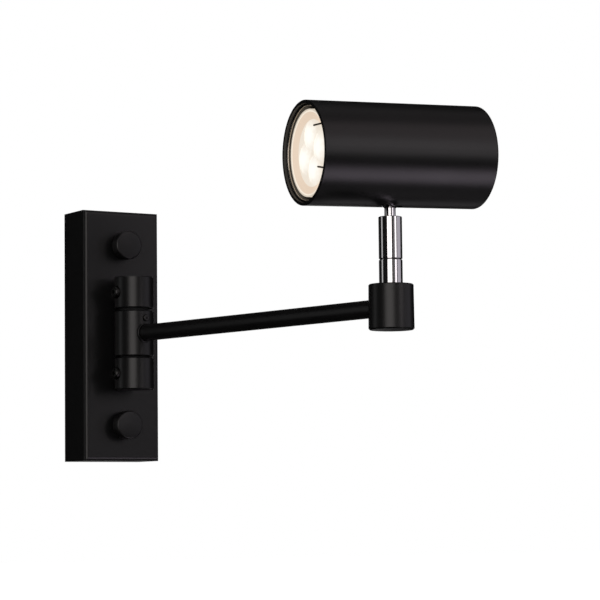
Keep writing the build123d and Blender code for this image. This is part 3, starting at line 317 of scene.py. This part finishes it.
black_nylon, tree = new_finish("black_nylon")
speck = tree.noise(800.0, 2.0)
surface(
    tree,
    Base_Color=tree.blend(speck, (0.010, 0.010, 0.011, 1), (0.018, 0.018, 0.019, 1)),
    Roughness=0.6 + 0.1 * speck,
    Specular_IOR_Level=0.15,
    Normal=tree.bump(speck, 0.00001),
)
coat(black_nylon, "pin_plugs", "lower_hinge_washer", "upper_hinge_washer", "swivel_washer")

sintered_bronze, tree = new_finish("sintered_bronze")
grain = tree.noise(2200.0, 2.0)
surface(
    tree,
    Base_Color=tree.blend(grain, (0.36, 0.20, 0.09, 1), (0.56, 0.36, 0.18, 1)),
    Metallic=1.0,
    Roughness=0.4 + 0.15 * grain,
    Normal=tree.bump(grain, 0.00003),
)
coat(sintered_bronze, "hinge_bushes")

# ------------------------------------------------------------------------------------- arm root
# The braze between the arm tube and the turning knuckle, dressed to a small round-edged collar
# and enamelled with them.
root_radius = 0.0064
arm_radius = 0.00532
root_foot = 0.0112
root_height = 0.0021
root_rounding = 0.0005
arm_turn = radians(9.1)


def joint_middle(name):
    """The point that a joint turns about."""
    return Vector(next(joint["pos_m"] for joint in frame["joints"] if joint["name"] == name))


root_collar = turned_disc("root_collar", root_radius, root_height, root_foot, sides=64)
pick_faces(root_collar, lambda middle, normal: abs(normal.z) > 0.9)
bpy.ops.mesh.inset(thickness=root_radius - arm_radius)
bpy.ops.mesh.bridge_edge_loops()
bpy.ops.object.mode_set(mode="OBJECT")
round_edges(root_collar, root_rounding, segments=4, angle=40)
root_collar.data.transform(
    Matrix.Translation(joint_middle("arm_swing"))
    @ Matrix.Rotation(arm_turn, 4, "Z")
    @ Matrix.Rotation(pi / 2, 4, "X")
)
bpy.ops.object.shade_smooth_by_angle(angle=radians(30))
root_collar.data.materials.append(black_enamel)
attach(root_collar, "arm")

# ------------------------------------------------------------------------------------- the lead
# Two-core lead in a white heat-proof sleeve. It runs from the terminal block through the upper
# neck, the arm and the stem, and behind the lampholder; its slack at the joints is left out.
sleeve, tree = new_finish("sleeve")
dust = tree.noise(120.0)
weave = tree.node(
    "ShaderNodeTexWave",
    {"wave_type": "BANDS", "bands_direction": "DIAGONAL"},
    {"Vector": tree.place(), "Scale": 420.0, "Distortion": 0.6},
    output="Fac",
)
surface(
    tree,
    Base_Color=tree.blend(dust, (0.72, 0.71, 0.67, 1), (0.80, 0.79, 0.76, 1)),
    Roughness=0.5 + 0.15 * dust,
    Normal=tree.bump(weave, 0.00006),
)
coat(sleeve, "box_lead", "arm_lead", "stem_lead", "head_lead")

# ------------------------------------------------------------------------------ stem and its ball
# Brass tube and bar, polished and chrome plated: the fixed lower length, the turning upper
# length and the neck with its ball. The nylon washer shows as a fine dark line between them.
chrome, tree = new_finish("chrome")
polish = tree.noise(900.0, 2.0)
surface(
    tree,
    Base_Color=tree.blend(polish, (0.80, 0.79, 0.80, 1), (0.86, 0.85, 0.86, 1)),
    Metallic=1.0,
    Roughness=0.05 + 0.04 * polish,
    Normal=tree.bump(polish, 0.0000015),
)
coat(chrome, "lower_stem", "upper_stem", "ball_neck")

# ------------------------------------------------------------------------------------ lampholder
# A glazed ceramic holder for a two-pin twist-and-lock lamp. Two pan screws fix it to the upright
# of its bent strip.
glazed_ceramic, tree = new_finish("glazed_ceramic")
glaze = tree.noise(45.0)
surface(
    tree,
    Base_Color=tree.blend(glaze, (0.80, 0.78, 0.71, 1), (0.86, 0.85, 0.80, 1)),
    Roughness=0.16 + 0.1 * glaze,
    Normal=tree.bump(tree.noise(200.0), 0.00004),
)
coat(glazed_ceramic, "lampholder")

# ------------------------------------------------------------------------------------------ lamp
# A reflector lamp in a pale moulded body that glows at its rim. Its lens plate is one clear
# moulding: a bright lip, a dished ring and a sunk floor with four lenses that run into each other.
aim = radians(173.2)
dip = radians(1.3)
lamp_ahead = Vector((cos(aim) * cos(dip), sin(aim) * cos(dip), -sin(dip)))
lamp_aside = Vector((-sin(aim), cos(aim), 0))
lamp_up = lamp_ahead.cross(lamp_aside)
lens_rise = 0.0256
lens_reach = 0.05
lens_middle = joint_middle("head_tilt") + lamp_up * lens_rise + lamp_ahead * lens_reach
lens_place = Matrix((lamp_aside, lamp_up, lamp_ahead)).transposed().to_4x4()
lens_place.translation = lens_middle

glow_of_flank = (-0.009, -0.005)
glow_of_rim = (-0.0008, -0.0002)

lamp_shell, tree = new_finish("lamp_shell")
flow = tree.noise(80.0)
behind_face = tree.vector(
    "DOT_PRODUCT", tree.vector("SUBTRACT", tree.place(), lens_middle), lamp_ahead, output="Value"
)
surface(
    tree,
    Base_Color=tree.blend(flow, (0.50, 0.46, 0.40, 1), (0.56, 0.52, 0.46, 1)),
    Roughness=0.35 + 0.1 * flow,
    Emission_Color=tree.blend(
        tree.ramp(behind_face, *glow_of_rim),
        tree.blend(tree.ramp(behind_face, *glow_of_flank), (0, 0, 0, 1), (1.0, 0.86, 0.68, 1)),
        (0.42, 0.37, 0.30, 1),
    ),
    Emission_Strength=1.0,
    Normal=tree.bump(tree.noise(1300.0), 0.00001),
)
coat(lamp_shell, "lamp_body")

lens_radius = 0.02408
lens_thickness = 0.0026
lens_rounding = 0.00018
lip_width = 0.0006
dish_width = 0.0042
dish_depth = 0.0021
rear_margin = 0.0028
rear_step_width = 0.0026
rear_step_depth = 0.0012
dome_radius = 0.02371
dome_height = 0.0015
dome_circle = 0.0102
dome_root = 0.0005
dome_turns = [radians(12 + 90 * quarter) for quarter in range(4)]
glow_of_dome = (0.002, 0.011)
glow_wander = 0.005
edge_of_floor = (0.0189, 0.0195)
edge_of_lip = (lens_radius - lip_width - 0.0003, lens_radius - lip_width)

lens_mould, tree = new_finish("lens_mould")
frost = tree.noise(1400.0, 2.0)
caustic = tree.noise(420.0, 2.0, 0.6)
off_middle = tree.vector("SUBTRACT", tree.place(), lens_middle)
sideways = tree.vector("DOT_PRODUCT", off_middle, lamp_aside, output="Value")
upwards = tree.vector("DOT_PRODUCT", off_middle, lamp_up, output="Value")
outwards = tree.maths("SQRT", sideways * sideways + upwards * upwards)
nearest = None
for turn in dome_turns:
    dome_middle = (lamp_aside * cos(turn) + lamp_up * sin(turn)) * dome_circle
    reach = tree.vector("DISTANCE", off_middle, dome_middle, output="Value")
    nearest = reach if nearest is None else tree.maths("MINIMUM", nearest, reach)
dome_light = 1.0 - tree.ramp(nearest + glow_wander * (caustic - 0.5), *glow_of_dome)
in_floor = 1.0 - tree.ramp(outwards, *edge_of_floor)
in_lip = tree.ramp(outwards, *edge_of_lip)
surface(
    tree,
    Base_Color=tree.blend(frost, (0.20, 0.18, 0.15, 1), (0.24, 0.22, 0.19, 1)),
    Roughness=0.25 + 0.1 * frost,
    Emission_Color=tree.blend(
        in_floor,
        tree.blend(in_lip, (0.66, 0.52, 0.40, 1), (0.80, 0.72, 0.62, 1)),
        tree.blend(dome_light, (0.74, 0.67, 0.58, 1), (0.94, 0.93, 0.88, 1)),
    ),
    Emission_Strength=1.0,
    Normal=tree.bump(frost + 2.0 * caustic, 0.00002),
)

lens_plate = turned_disc("lens_plate", lens_radius, lens_thickness, -lens_thickness, sides=128)
pick_faces(lens_plate, lambda middle, normal: normal.z > 0.9)
bpy.ops.mesh.inset(thickness=lip_width)
bpy.ops.mesh.inset(thickness=dish_width, depth=-dish_depth)
pick_faces(lens_plate, lambda middle, normal: normal.z < -0.9)
bpy.ops.mesh.inset(thickness=rear_margin)
bpy.ops.mesh.inset(thickness=rear_step_width, depth=rear_step_depth)
bpy.ops.object.mode_set(mode="OBJECT")
round_edges(lens_plate, lens_rounding, segments=2, angle=20)

bpy.ops.object.select_all(action="DESELECT")
bpy.ops.mesh.primitive_uv_sphere_add(
    segments=64,
    ring_count=96,
    radius=dome_radius,
    location=(dome_circle, 0, dome_height - dish_depth - dome_radius),
)
dome = bpy.context.object
bpy.ops.object.transform_apply()
bpy.ops.object.mode_set(mode="EDIT")
bpy.ops.mesh.select_all(action="SELECT")
bpy.ops.mesh.bisect(
    plane_co=(0, 0, -dish_depth - dome_root), plane_no=(0, 0, 1), use_fill=True, clear_inner=True
)
bpy.ops.object.mode_set(mode="OBJECT")
bpy.ops.object.select_all(action="DESELECT")
lens_plate.select_set(True)
bpy.context.view_layer.objects.active = lens_plate
for turn in dome_turns:
    one_dome = dome.copy()
    one_dome.data = dome.data.copy()
    one_dome.data.transform(Matrix.Rotation(turn, 4, "Z"))
    bpy.context.scene.collection.objects.link(one_dome)
    union = lens_plate.modifiers.new("union", "BOOLEAN")
    union.operation = "UNION"
    union.object = one_dome
    bpy.ops.object.modifier_apply(modifier="union")
    bpy.data.objects.remove(one_dome)
bpy.data.objects.remove(dome)
lens_plate.data.transform(lens_place)
bpy.ops.object.shade_smooth_by_angle(angle=radians(12))
lens_plate.data.materials.clear()
lens_plate.data.materials.append(lens_mould)
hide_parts("lamp_lens")
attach(lens_plate, "head")

spring_wire, tree = new_finish("spring_wire")
draw_marks = tree.noise(1200.0, 3.0)
surface(
    tree,
    Base_Color=tree.blend(draw_marks, (0.40, 0.36, 0.31, 1), (0.52, 0.48, 0.43, 1)),
    Metallic=1.0,
    Roughness=0.2 + 0.12 * draw_marks,
    Normal=tree.bump(draw_marks, 0.000006),
)
coat(spring_wire, "lamp_clip")

light_board, tree = new_finish("light_board")
mask = tree.noise(300.0)
surface(
    tree,
    Base_Color=tree.blend(mask, (0.85, 0.85, 0.82, 1), (0.90, 0.90, 0.88, 1)),
    Roughness=0.4 + 0.1 * mask,
)
coat(light_board, "led_board")

nickel, tree = new_finish("nickel")
tarnish = tree.noise(150.0)
surface(
    tree,
    Base_Color=tree.blend(tarnish, (0.66, 0.62, 0.55, 1), (0.72, 0.69, 0.62, 1)),
    Metallic=1.0,
    Roughness=0.2 + 0.12 * tarnish,
)
coat(nickel, "lamp_pins")

# ---------------------------------------------------------------------------------------- camera
# The camera stands low on the left, where the photographer stood, and looks slightly up through
# a long lens.
yaw = radians(31.0546)
pitch = radians(4.9395)
roll = radians(-0.5892)
camera_place = Vector((-0.742158, -1.487875, -0.118824))
ahead = Vector((sin(yaw) * cos(pitch), cos(yaw) * cos(pitch), sin(pitch)))
level = Vector((cos(yaw), -sin(yaw), 0))
upright = level.cross(ahead)
across = level * cos(roll) + upright * sin(roll)
upward = upright * cos(roll) - level * sin(roll)
camera = bpy.data.objects.new("camera", bpy.data.cameras.new("camera"))
camera.data.sensor_width = 36.0
camera.data.lens = 150.44
camera.data.clip_start = 0.05
camera.data.clip_end = 40.0
camera_facing = Matrix((across, upward, -ahead)).transposed().to_4x4()
camera.matrix_world = Matrix.Translation(camera_place) @ camera_facing
bpy.context.scene.collection.objects.link(camera)
bpy.context.scene.camera = camera

# ------------------------------------------------------------------------------------ studio
# A pale floor in an even white room. A black tent that only shows in gloss gives the enamel and
# the chrome their dark edges; soft boxes and plain cards inside it give them their bands.
tent_radius = 3.2
floor_size = 14
floor_level = -0.28

tent_black, tree = new_finish("tent_black")
surface(tree, Base_Color=(0.018, 0.018, 0.018, 1), Roughness=1.0, Specular_IOR_Level=0.0)


def only_in_gloss(prop, finish):
    """Stage gear that shows in reflections and nowhere else."""
    prop.data.materials.append(finish)
    prop.visible_camera = False
    prop.visible_diffuse = False
    prop.visible_transmission = False
    prop.visible_shadow = False


bpy.ops.object.select_all(action="DESELECT")
bpy.ops.mesh.primitive_uv_sphere_add(segments=48, ring_count=24, radius=tent_radius)
tent = bpy.context.object
tent.name = "tent"
only_in_gloss(tent, tent_black)

middle = Vector((0.04, -0.29, 0.03))


def stand(azimuth, elevation, distance):
    """A place round the light that faces it; azimuth runs from the camera to the picture's right."""
    turn = radians(azimuth) - yaw - pi / 2
    rise = radians(elevation)
    towards = Vector((cos(turn) * cos(rise), sin(turn) * cos(rise), sin(rise)))
    facing = towards.to_track_quat("Z", "Y").to_matrix().to_4x4()
    return Matrix.Translation(middle + towards * distance) @ facing


def soft_box(name, place, width, height, radiance, colour):
    """A soft box that faces the light."""
    lamp = bpy.data.lights.new(name, "AREA")
    lamp.shape = "RECTANGLE"
    lamp.size = width
    lamp.size_y = height
    lamp.energy = radiance * pi * width * height
    lamp.color = colour
    box = bpy.data.objects.new(name, lamp)
    box.matrix_world = place
    box.visible_camera = False
    bpy.context.scene.collection.objects.link(box)


soft_box("front_box", stand(-10, 5, 1.7), 1.31, 1.5, 1.75, (1.0, 0.95, 0.93))
soft_box("right_box", stand(50, 13, 1.2), 0.36, 0.64, 1.5, (1.0, 0.93, 0.96))


def card(name, place, width, height, radiance, colour):
    """A lit card that shows in gloss only."""
    finish, tree = new_finish(name)
    surface(tree, Base_Color=(0, 0, 0, 1), Emission_Color=colour, Emission_Strength=radiance)
    bpy.ops.object.select_all(action="DESELECT")
    bpy.ops.mesh.primitive_plane_add(size=1)
    sheet = bpy.context.object
    sheet.name = name
    sheet.data.transform(place @ Matrix.Diagonal((width, height, 1, 1)))
    only_in_gloss(sheet, finish)


card("upper_card", stand(62, 43, 1.5), 1.09, 0.8, 0.6, (1.0, 0.87, 0.9, 1))
card("roof_card", stand(112, 66, 1.5), 1.1, 0.6, 0.14, (1.0, 0.92, 0.95, 1))
card("violet_card", stand(66, -42, 1.5), 0.64, 0.72, 2.5, (0.98, 0.86, 1.0, 1))
card("low_card", stand(120, -62, 1.5), 0.9, 0.5, 0.22, (1.0, 0.95, 1.0, 1))
card("rear_card", stand(168, -35, 1.5), 0.8, 0.4, 0.3, (1.0, 0.95, 1.0, 1))
card("middle_card", stand(31, 5, 1.6), 0.5, 1.2, 0.13, (1.0, 0.95, 0.95, 1))
card("top_card", stand(-140, 78, 1.5), 1.2, 1.2, 0.4, (1.0, 1.0, 1.0, 1))
card("back_card", stand(-170, 2, 1.5), 0.6, 0.8, 0.5, (1.0, 1.0, 1.0, 1))
card("right_card", stand(89, 8, 1.5), 1.25, 1.2, 0.44, (0.95, 0.9, 1.0, 1))
card("left_card", stand(-91, 5, 1.5), 0.42, 1.2, 0.48, (1.0, 1.0, 1.0, 1))


def seen(tree):
    """1 for a ray from the camera, or by way of gloss or glass, and 0 for one that gathers light."""
    straight = tree.node("ShaderNodeLightPath", output="Is Camera Ray")
    glossy = tree.node("ShaderNodeLightPath", output="Is Glossy Ray")
    through = tree.node("ShaderNodeLightPath", output="Is Transmission Ray")
    return straight + glossy + through


floor_pale, tree = new_finish("floor_pale")
surface(
    tree,
    Base_Color=(0.80, 0.80, 0.80, 1),
    Roughness=0.9,
    Specular_IOR_Level=0.0,
    Emission_Color=(1, 1, 1, 1),
    Emission_Strength=0.8 * seen(tree),
)
bpy.ops.object.select_all(action="DESELECT")
bpy.ops.mesh.primitive_plane_add(size=floor_size, location=(0, 0, floor_level))
floor = bpy.context.object
floor.name = "floor"
bpy.ops.object.transform_apply()
floor.data.materials.append(floor_pale)
floor.visible_glossy = False

world = bpy.data.worlds.new("room")
bpy.context.scene.world = world
world.use_nodes = True
world.node_tree.nodes.clear()
tree = Finish(world.node_tree)
room = tree.node(
    "ShaderNodeBackground", None, {"Color": (1, 1, 1, 1), "Strength": 0.5 + 0.5 * seen(tree)}
)
tree.node("ShaderNodeOutputWorld", None, {"Surface": room})

bpy.context.scene.view_settings.view_transform = "Standard"
